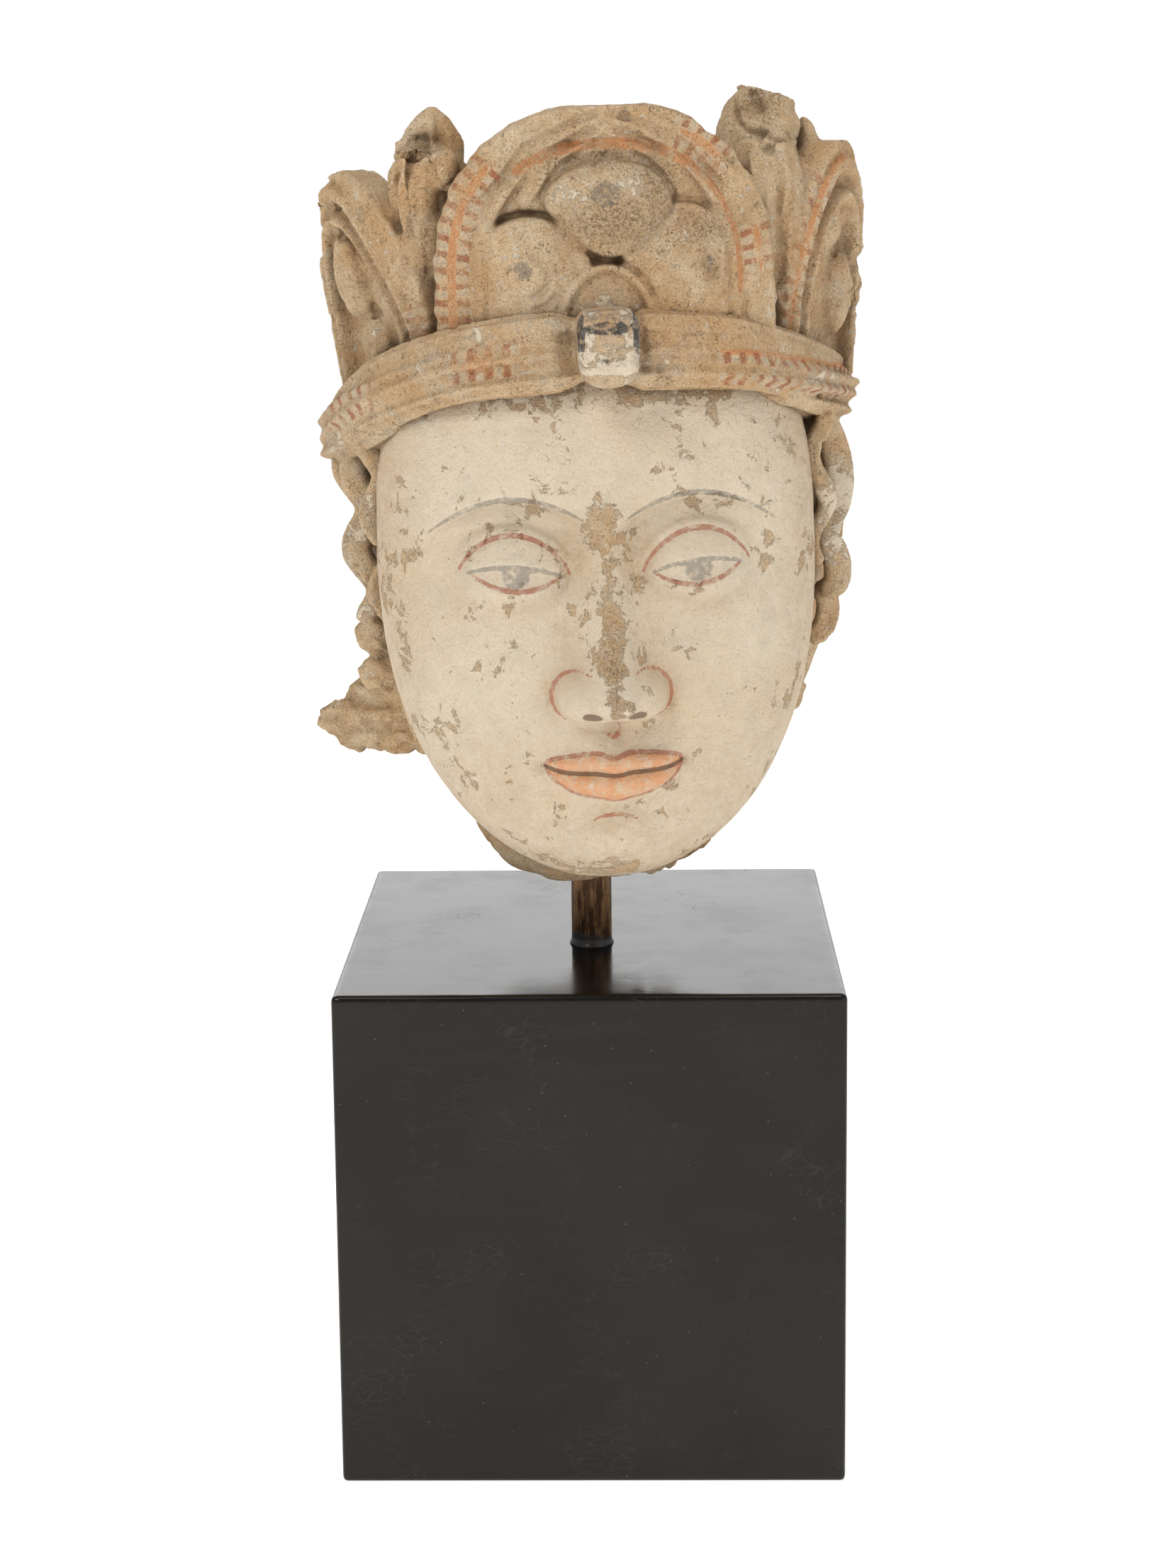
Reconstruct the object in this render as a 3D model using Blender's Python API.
"""Painted stucco head of a crowned bodhisattva, held by a metal rod on a lacquered wooden block.

Run it with: blender --background --python part.py
Metres, +Z up, front towards -Y. The origin is the middle of the block's underside.
Left and right are as seen from the front.
"""

import math

import bmesh
import bpy
import numpy as np

# Stand
BLOCK_SIZE = 0.1524          # the block is a cube of six inches
BLOCK_EDGE = 0.0012          # rounding of the block's edges
ROD_DIAMETER = 0.0127        # half-inch round bar
ROD_SET_BACK = 0.0592        # from the block's front face to the rod's axis
ROD_IN_BLOCK = 0.045         # depth of the rod's seat in the block
ROD_IN_HEAD = 0.070          # depth of the rod's seat in the head
STANDOFF = 0.0240            # clear rod between the block's top and the neck's break
SEAT_GAP = 0.0003            # clearance round and past the rod in both of its seats

# Head
HEAD_HEIGHT = 0.240          # neck's break to the tip of the tallest lotus
HEAD_TURN = math.radians(5.0)
HEAD_LEAN = math.radians(-1.5)

# The carving is drawn in units of a 240th of the head's height, a millimetre at this size
CARVING_HEIGHT = 240.0
UNIT = HEAD_HEIGHT / CARVING_HEIGHT
POSE_PIVOT = 120.0 * UNIT    # height in the head about which it turns and leans
MESH_CELL = 1.8 * UNIT       # grid on which the carved forms are fused
FACET_SHARE = 0.066          # share of the fused mesh's faces that is kept

ROD_Y = ROD_SET_BACK - BLOCK_SIZE / 2
NECK_Z = BLOCK_SIZE + STANDOFF
ROD_SIDES = 48


def clear_scene():
    """Removes whatever the file holds before the model is made."""
    for old in list(bpy.data.objects):
        bpy.data.objects.remove(old)


def finish(name, colour, roughness, metallic=0.0):
    """A plain material with the piece's colour."""
    material = bpy.data.materials.new(name)
    material.use_nodes = True
    shader = material.node_tree.nodes["Principled BSDF"]
    shader.inputs["Base Color"].default_value = (*colour, 1.0)
    shader.inputs["Roughness"].default_value = roughness
    shader.inputs["Metallic"].default_value = metallic
    return material


def add_object(name, mesh, material=None):
    """Links an object that holds this mesh."""
    obj = bpy.data.objects.new(name, mesh)
    bpy.context.scene.collection.objects.link(obj)
    if material:
        mesh.materials.append(material)
    return obj


# Tools that shape one closed form

def blend_between(value, low, high):
    """0 below low, 1 above high, and a smooth step between."""
    t = np.clip((value - low) / (high - low), 0.0, 1.0)
    return t * t * (3.0 - 2.0 * t)


def mound(x, z, centre, radii):
    """A soft bump of height 1 at the centre that dies out past its radii."""
    return np.exp(-(((x - centre[0]) / radii[0]) ** 2 + ((z - centre[1]) / radii[1]) ** 2))


def boss(x, z, centre, radii, steepness=0.5):
    """A round boss of height 1 with a clear edge."""
    r2 = ((x - centre[0]) / radii[0]) ** 2 + ((z - centre[1]) / radii[1]) ** 2
    return np.clip(1.0 - r2, 0.0, 1.0) ** steepness


def through(knots, steps):
    """Rows of a smooth curve through the knots, which may have any number of columns."""
    knots = np.asarray(knots, float)
    ends = np.vstack([2 * knots[0] - knots[1], knots, 2 * knots[-1] - knots[-2]])
    rows = []
    for i in range(1, len(ends) - 2):
        before, here, there, after = ends[i - 1:i + 3]
        for t in np.linspace(0.0, 1.0, steps, endpoint=False):
            rows.append(0.5 * (
                2 * here + (there - before) * t
                + (2 * before - 5 * here + 4 * there - after) * t ** 2
                + (3 * here - before - 3 * there + after) * t ** 3
            ))
    rows.append(knots[-1])
    return np.array(rows)


def loft(rings):
    """A closed skin through rings of as many points each, with a fan of triangles on both ends."""
    rings = np.asarray(rings, float)
    count, around = rings.shape[:2]
    points = np.vstack([rings.reshape(-1, 3), rings[0].mean(axis=0), rings[-1].mean(axis=0)])
    faces = []
    for i in range(count - 1):
        for j in range(around):
            k = (j + 1) % around
            faces.append((i * around + j, i * around + k, (i + 1) * around + k, (i + 1) * around + j))
    first, last = len(points) - 2, len(points) - 1
    for j in range(around):
        k = (j + 1) % around
        faces.append((first, k, j))
        faces.append((last, (count - 1) * around + j, (count - 1) * around + k))
    return points, faces


def tube(knots, outward_from=(0.0, 0.0), around=16, steps=6, taper=True):
    """A rod of oval section along knots of (x, y, z, half width, half thickness).

    The thickness points away from the upright axis through outward_from.
    """
    rows = through(knots, steps)
    path, half_width, half_thick = rows[:, :3], rows[:, 3], rows[:, 4]
    along = np.gradient(path, axis=0)
    along /= np.linalg.norm(along, axis=1)[:, None]
    outward = path - np.array([*outward_from, 0.0])
    outward[:, 2] = 0.0
    outward -= (outward * along).sum(axis=1)[:, None] * along
    outward /= np.linalg.norm(outward, axis=1)[:, None]
    across = np.cross(along, outward)
    turn = np.linspace(0.0, 2 * math.pi, around, endpoint=False)
    scale = np.ones(len(path))
    if taper:
        scale[[0, -1]] = 0.45
    rings = [
        path[i]
        + scale[i] * (np.outer(np.cos(turn), across[i]) * half_width[i]
                      + np.outer(np.sin(turn), outward[i]) * half_thick[i])
        for i in range(len(path))
    ]
    return loft(rings)


def pebble(centre, radii, roundness=2.0, around=24, rows=12):
    """An ellipsoid, or with a higher roundness a block with soft corners."""
    power = 2.0 / roundness
    rings = []
    for tilt in np.linspace(-0.49 * math.pi, 0.49 * math.pi, rows):
        level = math.copysign(abs(math.sin(tilt)) ** power, tilt)
        reach = math.cos(tilt) ** power
        turn = np.linspace(0.0, 2 * math.pi, around, endpoint=False)
        x = np.sign(np.cos(turn)) * np.abs(np.cos(turn)) ** power * reach
        y = np.sign(np.sin(turn)) * np.abs(np.sin(turn)) ** power * reach
        z = np.full(around, level)
        rings.append(np.stack([x, y, z], axis=1) * radii + centre)
    return loft(rings)


# Face and skull, with the face on the proportions that drawing books give

CHIN_Z = 9.0
FACE_HEIGHT = 165.0                         # chin to hairline, which lies under the band
EYE_Z = CHIN_Z + 0.58 * FACE_HEIGHT         # the widest level as well
NOSE_Z = CHIN_Z + FACE_HEIGHT / 3
BROW_Z = CHIN_Z + 2 * FACE_HEIGHT / 3
MOUTH_Z = CHIN_Z + 0.23 * FACE_HEIGHT
SKULL_TOP = 206.0
FACE_HALF_WIDTH = 65.0
FACE_FRONT = 72.0
EYE_X = 2 * FACE_HALF_WIDTH / 5             # a face is five eyes wide
MOUTH_HALF_WIDTH = 19.5


def eyes_relief(side, z):
    """Sockets under arched brows, full upper lids that are nearly shut, and the lower lids."""
    below_brow = BROW_Z + 6.0 - 0.0165 * (side - EYE_X) ** 2 - z
    socket = blend_between(below_brow, -1.0, 4.0) * (1 - blend_between(below_brow, 10.0, 30.0))
    relief = -5.5 * socket * np.exp(-((side - EYE_X) / 24.0) ** 4)
    relief += 6.5 * boss(side, z, (EYE_X, EYE_Z + 1.0), (15.5, 11.5), 0.6)
    relief += 3.0 * boss(side, z, (EYE_X, EYE_Z - 7.5), (14.0, 6.0), 0.8)
    across = (side - EYE_X) / 13.5
    slit = EYE_Z - 3.0 - 2.0 * (1 - across ** 2)
    return relief - 1.6 * np.exp(-((z - slit) / 1.4) ** 2) * (np.abs(across) < 1)


def nose_relief(side, z):
    """The ridge of the nose, its wings and its steep underside."""
    levels = (-6.0, -3.0, -0.5, 2.5, 6.0, 16.0, 31.0, 46.0, 56.0)
    heights = (0.0, 1.5, 11.0, 17.5, 19.0, 15.0, 9.0, 3.5, 0.0)
    widths = (9.5, 9.5, 9.5, 9.5, 9.5, 8.5, 7.5, 6.8, 9.0)
    up = z - NOSE_Z
    ridge = np.interp(up, levels, heights) * np.exp(-(side / np.interp(up, levels, widths)) ** 2)
    wings = 10.5 * boss(side, z, (9.0, NOSE_Z + 4.5), (7.0, 6.5), 0.45)
    return np.maximum(ridge, wings)


def mouth_relief(side, z):
    """Full lips with a bowed line between them, on the swell round the teeth."""
    reach = np.clip(1 - (side / MOUTH_HALF_WIDTH) ** 2, 0.0, 1.0)
    line = MOUTH_Z - 0.8 * np.exp(-(side / 3.5) ** 2) + 1.6 * (side / MOUTH_HALF_WIDTH) ** 4
    upper = (z - line) / (0.6 + 6.0 * np.sqrt(reach) * (1 - 0.2 * np.exp(-(side / 3.0) ** 2)))
    lower = (line - z) / (0.6 + 8.0 * reach ** 0.7)
    relief = 4.5 * mound(side, z, (0.0, MOUTH_Z + 1.0), (25.0, 17.0))
    relief += 3.4 * np.sqrt(np.clip(4 * upper * (1 - upper), 0, 1)) * reach ** 0.3
    relief += 4.2 * np.sqrt(np.clip(4 * lower * (1 - lower), 0, 1)) * reach ** 0.3
    relief -= 1.6 * mound(side, z, (0.0, MOUTH_Z + 11.0), (2.6, 5.0))
    return relief - 2.6 * mound(side, z, (0.0, MOUTH_Z - 13.0), (15.0, 4.5))


def face_relief(x, z):
    """How far the features stand out of the smooth mask at a place on its front."""
    side = np.abs(x)
    relief = eyes_relief(side, z) + nose_relief(side, z) + mouth_relief(side, z)
    relief += 2.5 * mound(side, z, (34.0, NOSE_Z + 10.0), (22.0, 22.0))
    return relief + 5.0 * mound(side, z, (0.0, CHIN_Z + 13.0), (17.0, 11.0))


def skull(around=144, rows=124):
    """The egg of the skull with the face on its front."""
    rings = []
    turn = np.linspace(0.0, 2 * math.pi, around, endpoint=False)
    squareness = 2 / 2.25
    round_x = np.sign(np.cos(turn)) * np.abs(np.cos(turn)) ** squareness
    round_y = np.sign(np.sin(turn)) * np.abs(np.sin(turn)) ** squareness
    for share in np.linspace(-0.995, 0.995, rows):
        t = abs(share)
        if share < 0:
            z = EYE_Z - t * (EYE_Z - CHIN_Z)
            half_width = FACE_HALF_WIDTH * (1 - t ** 2.3) ** 0.53
            front = FACE_FRONT - 34.0 * (1 - (1 - t ** 6) ** 0.42)
            back = 70.0 - 108.0 * t ** 2.2
        else:
            z = EYE_Z + t * (SKULL_TOP - EYE_Z)
            half_width = FACE_HALF_WIDTH * (1 - t ** 2.6) ** 0.45
            front = FACE_FRONT * (1 - t ** 3.2) ** 0.45
            back = 70.0 * (1 - t ** 2.8) ** 0.45
        x = half_width * round_x
        y = (back - front) / 2 + (back + front) / 2 * round_y
        facing = blend_between(-round_y, 0.25, 0.6)
        y = y - facing * face_relief(x, z)
        rings.append(np.stack([x, y, np.full(around, z)], axis=1))
    return loft(rings)


def neck_stump(around=36):
    """What is left of the neck, broken off below and higher on the right."""
    turn = np.linspace(0.0, 2 * math.pi, around, endpoint=False)
    chips = 1.0 + 0.035 * np.sin(5 * turn + 0.6) + 0.03 * np.sin(11 * turn)
    levels = ((0.0, 29.0, 27.0), (6.0, 36.0, 32.0), (16.0, 40.0, 37.0), (44.0, 42.0, 44.0))
    rings = []
    for level, half_x, half_y in levels:
        x = 2.0 + half_x * np.cos(turn) * chips
        y = 10.0 + half_y * np.sin(turn) * chips
        z = level + (0.16 * np.maximum(0.0, x - 14.0) + 0.8 * np.sin(7 * turn)) * (level < 16.0)
        rings.append(np.stack([x, y, np.maximum(z, 0.0)], axis=1))
    return loft(rings)


# Hair

def hair_mass(around=120):
    """The combed hair that covers the back of the head, broken short on the left."""
    levels = through([
        # height, reach to the left, reach to the right, front, back
        (39.0, -34.0, 58.0, 10.0, 48.0),
        (47.0, -44.0, 66.0, -4.0, 58.0),
        (62.0, -52.0, 72.5, -14.0, 65.0),
        (92.0, -60.0, 79.5, -34.0, 73.0),
        (120.0, -66.0, 81.0, -44.0, 76.0),
        (150.0, -67.0, 76.0, -48.0, 75.0),
        (180.0, -58.0, 63.0, -46.0, 66.0),
        (200.0, -42.0, 46.0, -34.0, 46.0),
        (209.0, -20.0, 24.0, -16.0, 24.0),
    ], 4)
    turn = np.linspace(0.0, 2 * math.pi, around, endpoint=False)
    rings = []
    for z, left, right, front, back in levels:
        combed = 1.0 + 0.016 * np.sin(22 * turn + 0.05 * z) * (np.sin(turn) > -0.1)
        x = (left + right) / 2 + (right - left) / 2 * np.cos(turn) * combed
        y = (front + back) / 2 + (back - front) / 2 * np.sin(turn) * combed
        rings.append(np.stack([x, y, np.full(around, z)], axis=1))
    return loft(rings)


def lock(knots, half_width, half_thick):
    """One wavy lock of even size through its knots."""
    return tube([(*knot, half_width, half_thick) for knot in knots], around=12, steps=5)


def locks_on_left():
    """Wavy locks in front of the ear, the lumps below them and the tress that blew out and broke."""
    forms = [
        # what the locks lie on
        tube([(-64, -16, 146, 9, 8), (-65, -14, 120, 8, 8), (-62, -10, 96, 7, 8), (-58, -4, 70, 7, 8),
              (-54, 0, 46, 7, 7)]),
        # one S behind the other
        lock([(-60, -34, 146), (-65, -33, 135), (-68, -31, 124), (-64, -32, 113), (-62, -30, 104),
              (-67, -28, 96), (-64, -27, 88), (-60, -28, 84)], 3.4, 4.4),
        lock([(-66, -25, 144), (-71, -22, 133), (-70, -22, 122), (-66, -24, 114), (-69, -21, 104),
              (-69, -19, 95), (-65, -18, 87)], 3.6, 4.4),
        lock([(-69, -12, 140), (-72, -10, 126), (-70, -10, 114), (-71, -8, 103), (-68, -8, 92),
              (-65, -8, 82)], 4.0, 4.4),
        tube([(-60, -24, 92, 3.0, 3.0), (-60, -22, 74, 3.2, 3.2), (-57, -20, 58, 4.0, 3.4),
              (-53, -20, 44, 3.4, 3.0)]),
        pebble((-67.0, -4.0, 75.0), (6.5, 8.0, 6.5)),
        pebble((-64.0, 0.0, 65.0), (6.5, 8.0, 5.5)),
    ]
    for height, reach, size in ((57.0, 16.0, 6.0), (50.5, 29.0, 5.8), (43.5, 23.0, 4.4)):
        forms.append(tube([
            (-50.0, -6.0, height + 1.0, size, size),
            (-60.0, 2.0, height + 1.5, size + 0.6, size + 1.0),
            (-59.0 - 0.6 * reach, 9.0, height + 0.5, size, size + 1.0),
            (-58.0 - reach, 13.0, height - 2.0, 0.8 * size, 0.8 * size),
        ]))
    return forms


def locks_on_right():
    """Two wavy locks that hang in front of the ear, a loose curl and the stubs at the broken edge."""
    return [
        tube([(64, -14, 146, 7, 7), (66, -8, 122, 7, 7), (64, -6, 98, 7, 7), (60, -2, 76, 6, 6)]),
        lock([(66, -30, 146), (70, -25, 138), (74, -19, 127), (74, -18, 115), (70, -21, 106), (73, -19, 97),
              (72, -18, 90), (69, -20, 86)], 3.6, 4.2),
        lock([(64, -36, 146), (67, -33, 134), (69, -28, 121), (67, -29, 110), (66, -29, 99)], 2.8, 3.2),
        lock([(69, -17, 90), (71, -14, 82), (69, -14, 75), (64, -15, 72)], 3.2, 3.6),
        tube([(56, 20, 44, 5, 6), (61, 24, 48, 7, 8), (65, 26, 55, 5, 6)]),
        tube([(50, 16, 42, 4, 5), (56, 20, 43, 6, 7), (60, 22, 46, 4, 5)]),
    ]


# Wound band and its clasp

BAND_REACH = (72.0, 73.0)   # half width and half depth of the oval that the band follows


def wound_strand(side, knots):
    """One strand of the band on one side.

    Its knots hold an angle from the front, a height, and the strand's half height and half depth.
    """
    path = []
    for angle, z, half_height, half_depth in knots:
        a = side * math.radians(angle)
        path.append((BAND_REACH[0] * math.sin(a), -BAND_REACH[1] * math.cos(a), z, half_height, half_depth))
    return tube(path, around=20)


def wound_band():
    """The twisted cloth round the brow: three strands that swell to the sides, and a roll below them."""
    left = (
        ((3, 173.0, 4.8, 6.5), (30, 170.0, 4.4, 5.5), (58, 159.8, 4.8, 6.0), (80, 147.0, 5.0, 6.0),
         (120, 146.0, 6.0, 6.5), (184, 150.0, 6.0, 6.0)),
        ((3, 166.5, 5.4, 7.4), (30, 163.5, 5.2, 8.0), (58, 153.4, 5.8, 9.0), (82, 142.8, 6.0, 9.0),
         (120, 141.0, 6.5, 8.5), (184, 143.0, 7.0, 8.0)),
        ((3, 160.0, 4.6, 6.8), (30, 157.2, 4.4, 7.5), (55, 148.4, 5.0, 8.0), (80, 138.8, 4.6, 6.5),
         (110, 137.0, 4.0, 5.0)),
        ((48, 147.0, 2.5, 4.0), (66, 140.5, 4.8, 6.5), (88, 136.0, 6.2, 8.5), (120, 134.0, 6.5, 8.0),
         (184, 134.0, 6.5, 7.0)),
    )
    right = (
        ((3, 173.0, 4.8, 6.5), (30, 170.5, 4.2, 5.5), (58, 161.8, 4.2, 6.0), (84, 154.0, 4.6, 6.5),
         (120, 149.0, 5.0, 6.0), (184, 150.0, 6.0, 6.0)),
        ((3, 166.5, 5.4, 7.4), (30, 164.5, 4.6, 7.0), (58, 157.0, 4.6, 7.5), (84, 150.5, 5.0, 8.0),
         (120, 145.0, 6.0, 7.5), (184, 143.0, 7.0, 8.0)),
        ((3, 160.0, 4.6, 6.8), (30, 158.5, 5.2, 8.5), (58, 152.5, 5.6, 10.0), (84, 148.0, 5.4, 10.5),
         (120, 141.0, 6.0, 8.0)),
        ((40, 151.5, 2.5, 4.0), (62, 146.5, 4.6, 7.5), (86, 142.0, 5.2, 8.5), (120, 137.0, 6.0, 8.0),
         (184, 134.0, 6.5, 7.0)),
    )
    return [wound_strand(-1, knots) for knots in left] + [wound_strand(1, knots) for knots in right]


def clasp():
    """The upright jewel that grips the band at the front, with the band's knob below it."""
    return [
        pebble((1.9, -79.0, 168.5), (8.5, 10.0, 10.0), 4.0),
        pebble((1.9, -79.5, 161.3), (7.6, 8.5, 5.0), 2.4),
    ]


# Crown

def crown_field(x, z, half_width, base, spring, top, fullness):
    """Place of a point in an arched plate: 0 at its middle and 1 at its outline."""
    rise = np.clip((z - spring) / (top - spring), 0.0, 1.0)
    return (np.abs(x / half_width) ** fullness + rise ** fullness) ** (1 / fullness)


def arch_plate(half_width, base, spring, top, fullness, front_relief, sag, thick, pose, droop=0.0,
               across=40, rows=40):
    """An arched plate with relief on its front.

    Args: its half width and heights, the squareness of its arch, a function for its relief, how far its
    edges bend back, its thickness, and pose as (turn from the front in degrees, x, y, lean back per height).
    droop is how far the top sinks per width, on the side of its sign.
    """
    turn, place_x, place_y, lean = pose
    cos_turn, sin_turn = math.cos(math.radians(turn)), math.sin(math.radians(turn))
    share = np.sin(np.linspace(-0.5, 0.5, across) * math.pi)
    rings = []
    for rise in np.linspace(0.0, 0.985, rows):
        z = base + rise * (top - base)
        arch = np.clip((z - spring) / (top - spring), 0.0, 1.0)
        x = half_width * (1 - arch ** fullness) ** (1 / fullness) * share
        bend = sag * (x / half_width) ** 2 + lean * (z - base)
        front = bend - front_relief(x, np.full(across, z))
        back = bend + thick
        ring_x = np.concatenate([x, x[::-1]])
        ring_y = np.concatenate([front, back[::-1]])
        rings.append(np.stack([
            place_x + ring_x * cos_turn - ring_y * sin_turn,
            place_y + ring_x * sin_turn + ring_y * cos_turn,
            z - np.maximum(0.0, droop * ring_x) * rise ** 2,
        ], axis=1))
    return loft(rings)


FRONT_PLATE = {"half_width": 48.5, "base": 158.0, "spring": 184.0, "top": 234.5, "fullness": 2.35}
FRONT_FIELD = 1.5            # how far the field inside the front plate's border stands out
LEFT_PLATE = {"half_width": 29.0, "base": 146.0, "spring": 172.0, "top": 219.0, "fullness": 2.0}
RIGHT_PLATE = {"half_width": 29.0, "base": 146.0, "spring": 172.0, "top": 222.5, "fullness": 1.9}

# Raised drops on the plates over the ears.
# Each has its place towards the rear, its height, two radii and how far it stands out.
LEFT_DROPS = ((10.0, 188.0, 7.0, 13.5, 6.5), (3.0, 180.0, 4.0, 4.5, 5.0), (-2.0, 168.0, 8.0, 8.5, 6.0))
RIGHT_DROPS = ((9.0, 177.0, 9.0, 13.0, 6.5), (4.0, 199.0, 6.0, 8.0, 3.0))


def front_plate_relief(x, z):
    """A border of two ribs, and in its field two scallops, a small arch and a gem over them all."""
    place = crown_field(x, z, **FRONT_PLATE)
    field = FRONT_FIELD + 2.4 * blend_between(z, 204.0, 220.0)
    relief = field + (3.2 - field) * blend_between(place, 0.70, 0.76)
    relief += 2.0 * np.exp(-((place - 0.785) / 0.05) ** 2) + 1.8 * np.exp(-((place - 0.925) / 0.05) ** 2)
    relief -= 2.0 * blend_between(place, 0.96, 1.0)
    drop = np.clip(207.0 - z, 0.0, 16.0)
    lifted = z - 0.3 * (207.0 - z) * (z > 207.0)
    for across, up, centre, radii, rim, swell in (
        (x, z, (-22.0, 185.5), (18.0, 18.5), 3.8, 2.2),
        (x, z, (20.5, 187.0), (17.5, 19.5), 3.8, 2.4),
        (x, z, (-1.0, 173.0), (14.0, 17.5), 5.8, 0.0),
        (x, z, (-1.0, 173.0), (10.8, 14.2), 3.4, 2.2),
        (x, lifted, (0.5, 207.0), (17.8 - 0.45 * drop, 15.2), 4.8, 4.8),
    ):
        r2 = ((across - centre[0]) / radii[0]) ** 2 + ((up - centre[1]) / radii[1]) ** 2
        inside = (1 - blend_between(r2, 0.90, 1.10)) * (place < 0.75)
        relief = relief * (1 - inside) + inside * (rim + swell * np.sqrt(np.clip(1 - r2, 0.0, 1.0)))
    return relief


def side_plate_relief(plate, rear, drops):
    """Gives the relief of a plate over an ear: a broad rim, and drops whose places count towards the rear."""
    def relief_at(x, z):
        place = crown_field(x, z, **plate)
        relief = 3.6 * blend_between(place, 0.60, 0.68) + 1.8 * np.exp(-((place - 0.70) / 0.06) ** 2)
        relief -= 1.6 * blend_between(place, 0.95, 1.0)
        for across, level, half, tall, height in drops:
            relief = np.maximum(relief, height * boss(rear * x, z, (across, level), (half, tall)))
        return relief
    return relief_at


def crown_plates():
    """The large plate over the brow and the two at the sides."""
    left_relief = side_plate_relief(LEFT_PLATE, -1.0, LEFT_DROPS)
    right_relief = side_plate_relief(RIGHT_PLATE, 1.0, RIGHT_DROPS)
    return [
        arch_plate(**FRONT_PLATE, front_relief=front_plate_relief, sag=13.0, thick=9.0,
                   pose=(0.0, 3.8, -67.0, 0.03), across=56, rows=56),
        arch_plate(**LEFT_PLATE, front_relief=left_relief, sag=4.0, thick=8.0,
                   pose=(-62.0, -58.0, -22.0, -0.14), droop=0.4),
        arch_plate(**RIGHT_PLATE, front_relief=right_relief, sag=4.0, thick=8.0,
                   pose=(61.0, 67.6, -20.0, -0.11)),
    ]


def lotus_bud(foot, tip, girth, lobes=5, phase=0.0, blunt=0.35, slant=0.0, around=40):
    """A closed bud of fluted petals from foot to tip.

    blunt is the share of its girth left at the broken tip, and slant is how far that tip rises to one side.
    """
    shape = through([(0.0, 0.50), (0.25, 0.60), (0.5, 0.86), (0.72, 1.0), (0.88, 0.84), (1.0, blunt)], 5)
    turn = np.linspace(0.0, 2 * math.pi, around, endpoint=False)
    rings = []
    for rise, size in shape:
        centre = np.array(foot) * (1 - rise) + np.array(tip) * rise
        reach = girth * size * (0.93 + 0.12 * np.abs(np.sin(lobes * turn / 2 + phase + 0.6 * rise)))
        rings.append(np.stack([
            centre[0] + reach * np.cos(turn),
            centre[1] + 0.85 * reach * np.sin(turn),
            centre[2] + slant * reach * np.cos(turn) * rise ** 3,
        ], axis=1))
    return loft(rings)


def leaf(foot, tip, half_width, turn, point, thick=2.6, bulge=3.0, around=24):
    """A cupped leaf from foot to tip that faces some degrees from the front.

    point is the share of its width left at the tip.
    """
    near_tip = 0.45 + 0.5 * point
    shape = through([(0.0, 0.30), (0.3, 0.64), (0.58, 0.95), (0.78, 0.96), (0.93, near_tip), (1.0, point)], 4)
    angle = np.linspace(0.0, 2 * math.pi, around, endpoint=False)
    cos_turn, sin_turn = math.cos(math.radians(turn)), math.sin(math.radians(turn))
    rings = []
    for rise, width in shape:
        centre = np.array(foot) * (1 - rise) + np.array(tip) * rise
        side = half_width * width * np.cos(angle)
        depth = bulge * math.sin(math.pi * rise) + thick * math.sqrt(width) * np.sin(angle)
        depth = depth - 0.30 * half_width * width * np.cos(angle) ** 2
        rings.append(np.stack([
            centre[0] + side * cos_turn + depth * sin_turn,
            centre[1] + side * sin_turn - depth * cos_turn,
            np.full(around, centre[2]),
        ], axis=1))
    return loft(rings)


def lotuses():
    """The two buds between the plates, broken at the top, with their leaves and the one that curls off."""
    return [
        lotus_bud((-47, -42, 168), (-46, -37, 211), 9.2, phase=0.4, blunt=0.55),
        leaf((-47, -35, 188), (-50, -45, 224), 8.2, -22.0, 0.34, 2.8, 3.6),
        leaf((-46.4, -38, 186), (-43.2, -35, 235.5), 10.2, 0.0, 0.12, 3.2, 1.0),
        leaf((-54, -36, 180), (-56, -33, 212), 6.4, -75.0, 0.35),
        leaf((-42, -32, 180), (-36, -27, 220), 7.0, 75.0, 0.35),
        pebble((-39.9, -47.5, 217.4), (4.2, 4.0, 6.0), 2.2),
        lotus_bud((55, -38, 168), (51.5, -32, 222), 12.8, phase=1.1, blunt=0.80),
        lotus_bud((52.0, -32, 206), (54.2, -28, 236.5), 10.2, lobes=4, phase=0.5, blunt=0.86, slant=-0.32),
        leaf((52, -44, 178), (46.5, -32, 237), 10.0, -10.0, 0.20, 3.2, 2.0),
        leaf((51, -44, 180), (47, -44, 223), 6.6, -8.0, 0.34, 3.0, 3.8),
        leaf((56, -42, 182), (55.5, -41, 225), 7.2, 20.0, 0.34, 3.0, 3.6),
        leaf((60, -38, 184), (62.5, -34, 216), 5.6, 56.0, 0.30, 3.0),
        leaf((58, -31, 180), (58, -23, 222), 7.6, 110.0, 0.30),
        tube([(59, -33, 198, 4.0, 4.0), (64.5, -26, 209, 4.6, 4.0), (67, -23, 219, 4.0, 3.6),
              (66, -22, 229.5, 2.2, 2.2)]),
    ]


def carved_forms():
    """Every form of the head, in carving units, before they are fused."""
    return [
        skull(),
        neck_stump(),
        hair_mass(),
        *locks_on_left(),
        *locks_on_right(),
        *wound_band(),
        *clasp(),
        *crown_plates(),
        *lotuses(),
    ]


# Objects

def join_forms(forms):
    """One mesh that holds all of the forms, with their faces turned outwards."""
    shape = bmesh.new()
    for points, faces in forms:
        verts = [shape.verts.new(point) for point in points * UNIT]
        for face in faces:
            shape.faces.new([verts[i] for i in face])
    bmesh.ops.recalc_face_normals(shape, faces=shape.faces)
    mesh = bpy.data.meshes.new("head")
    shape.to_mesh(mesh)
    shape.free()
    return mesh


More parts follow.
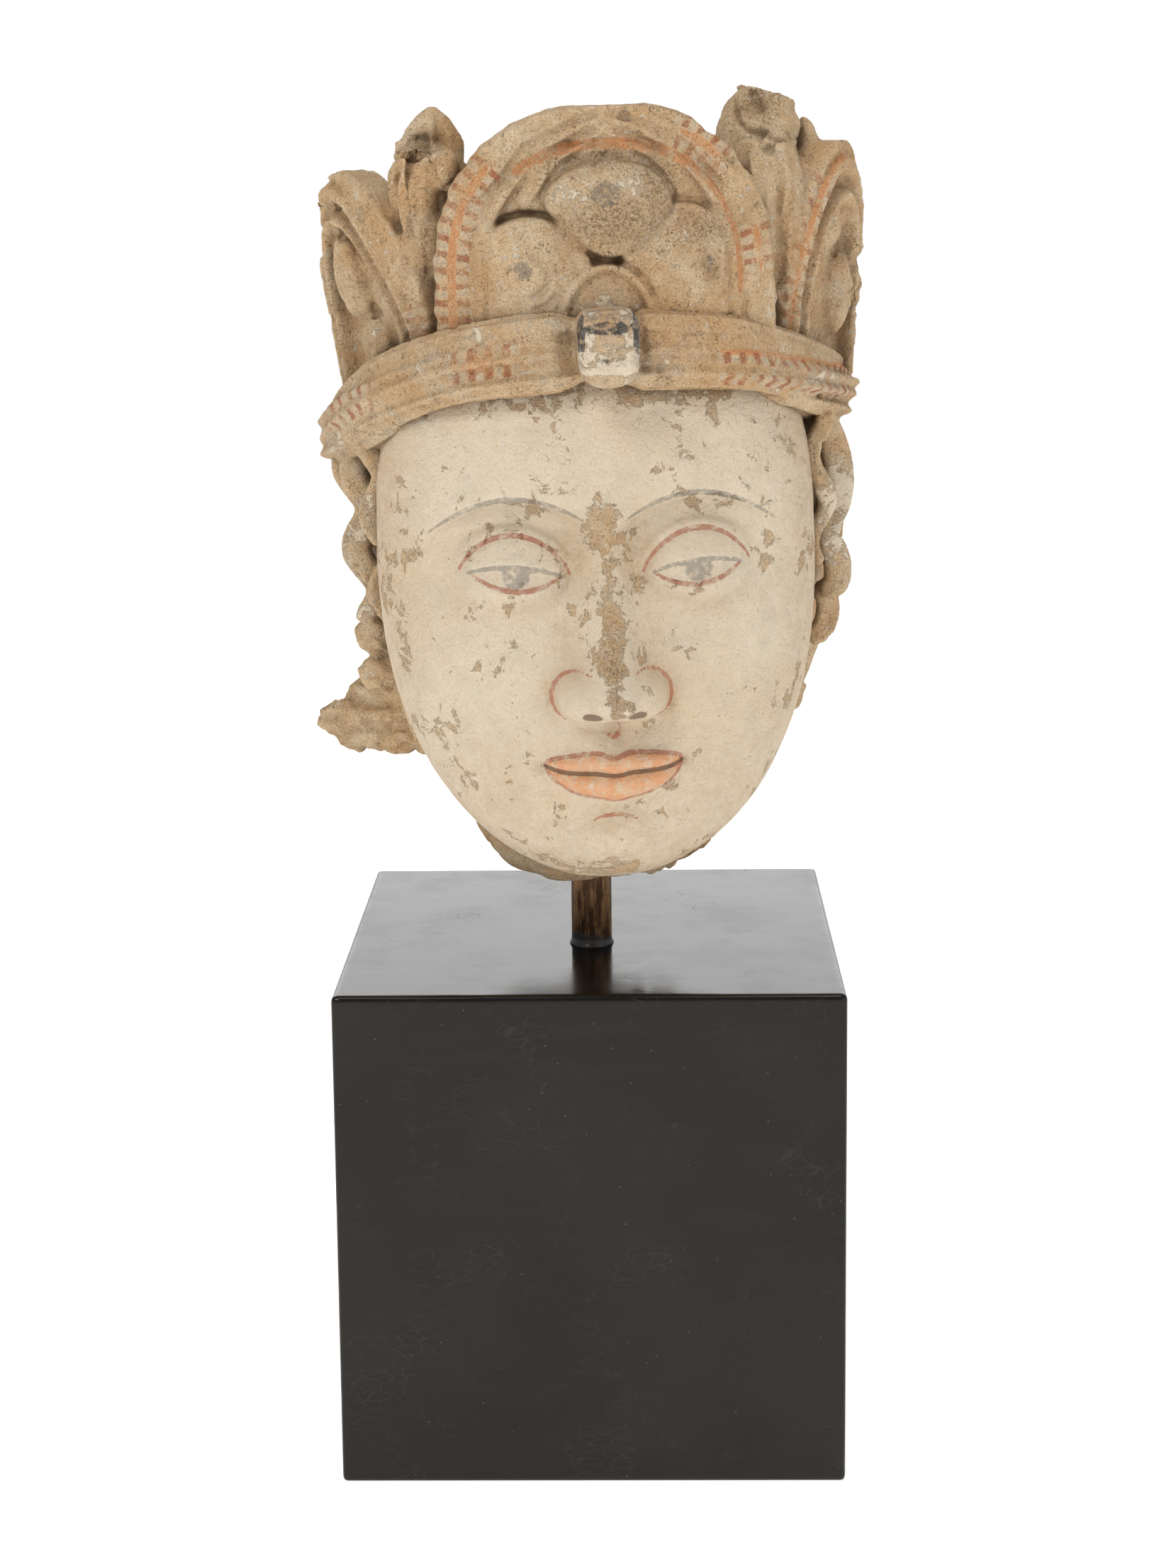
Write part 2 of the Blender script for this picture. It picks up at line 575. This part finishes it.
def cylinder_mesh(name, radius, length):
    """An upright cylinder that stands on its origin."""
    shape = bmesh.new()
    bmesh.ops.create_cone(
        shape, cap_ends=True, segments=ROD_SIDES, radius1=radius, radius2=radius, depth=length,
    )
    bmesh.ops.translate(shape, verts=shape.verts, vec=(0.0, 0.0, length / 2))
    mesh = bpy.data.meshes.new(name)
    shape.to_mesh(mesh)
    shape.free()
    return mesh


def cut(obj, cutter):
    """Takes the cutter out of the object, and hides it."""
    cutter.hide_render = True
    cutter.display_type = "WIRE"
    cutter_cut = obj.modifiers.new("seat", "BOOLEAN")
    cutter_cut.operation = "DIFFERENCE"
    cutter_cut.object = cutter


def seat_cutter(name, bottom, length):
    """The upright hole for the rod that starts at a height."""
    seat = add_object(name, cylinder_mesh(name, ROD_DIAMETER / 2 + SEAT_GAP, length))
    seat.location = (0.0, ROD_Y, bottom)
    return seat


def make_block(material):
    """The cube of the stand, with rounded edges and a seat for the rod in its top."""
    shape = bmesh.new()
    bmesh.ops.create_cube(shape, size=BLOCK_SIZE)
    mesh = bpy.data.meshes.new("block")
    shape.to_mesh(mesh)
    shape.free()
    block = add_object("block", mesh, material)
    block.location = (0.0, 0.0, BLOCK_SIZE / 2)
    edges = block.modifiers.new("edges", "BEVEL")
    edges.width = BLOCK_EDGE
    edges.segments = 2
    cut(block, seat_cutter("block_seat", BLOCK_SIZE - ROD_IN_BLOCK - SEAT_GAP, 2 * ROD_IN_BLOCK))
    return block


def make_rod(material):
    """The round bar from its seat in the block to its seat in the head."""
    length = ROD_IN_BLOCK + STANDOFF + ROD_IN_HEAD
    mesh = cylinder_mesh("rod", ROD_DIAMETER / 2, length)
    mesh.shade_smooth()
    mesh.set_sharp_from_angle(angle=math.radians(40))
    rod = add_object("rod", mesh, material)
    rod.location = (0.0, ROD_Y, BLOCK_SIZE - ROD_IN_BLOCK)
    return rod


def make_head(material):
    """The carved head, fused into one solid, turned and leant as it is mounted."""
    pose = bpy.data.objects.new("head_pose", None)
    bpy.context.scene.collection.objects.link(pose)
    pose.location = (0.0, ROD_Y, NECK_Z + POSE_PIVOT)
    pose.rotation_euler = (0.0, HEAD_LEAN, HEAD_TURN)
    head = add_object("head", join_forms(carved_forms()), material)
    head.parent = pose
    head.location = (0.0, 0.0, -POSE_PIVOT)
    fuse = head.modifiers.new("fuse", "REMESH")
    fuse.mode = "VOXEL"
    fuse.voxel_size = MESH_CELL
    facets = head.modifiers.new("facets", "DECIMATE")
    facets.ratio = FACET_SHARE
    depth = ROD_IN_HEAD + SEAT_GAP
    cut(head, seat_cutter("head_seat", NECK_Z - STANDOFF / 2, depth + STANDOFF / 2))
    return head


def main():
    clear_scene()
    make_block(finish("black_lacquer", (0.012, 0.011, 0.012), 0.25))
    make_rod(finish("browned_brass", (0.16, 0.09, 0.045), 0.35, 1.0))
    make_head(finish("painted_stucco", (0.62, 0.50, 0.35), 0.85))


main()
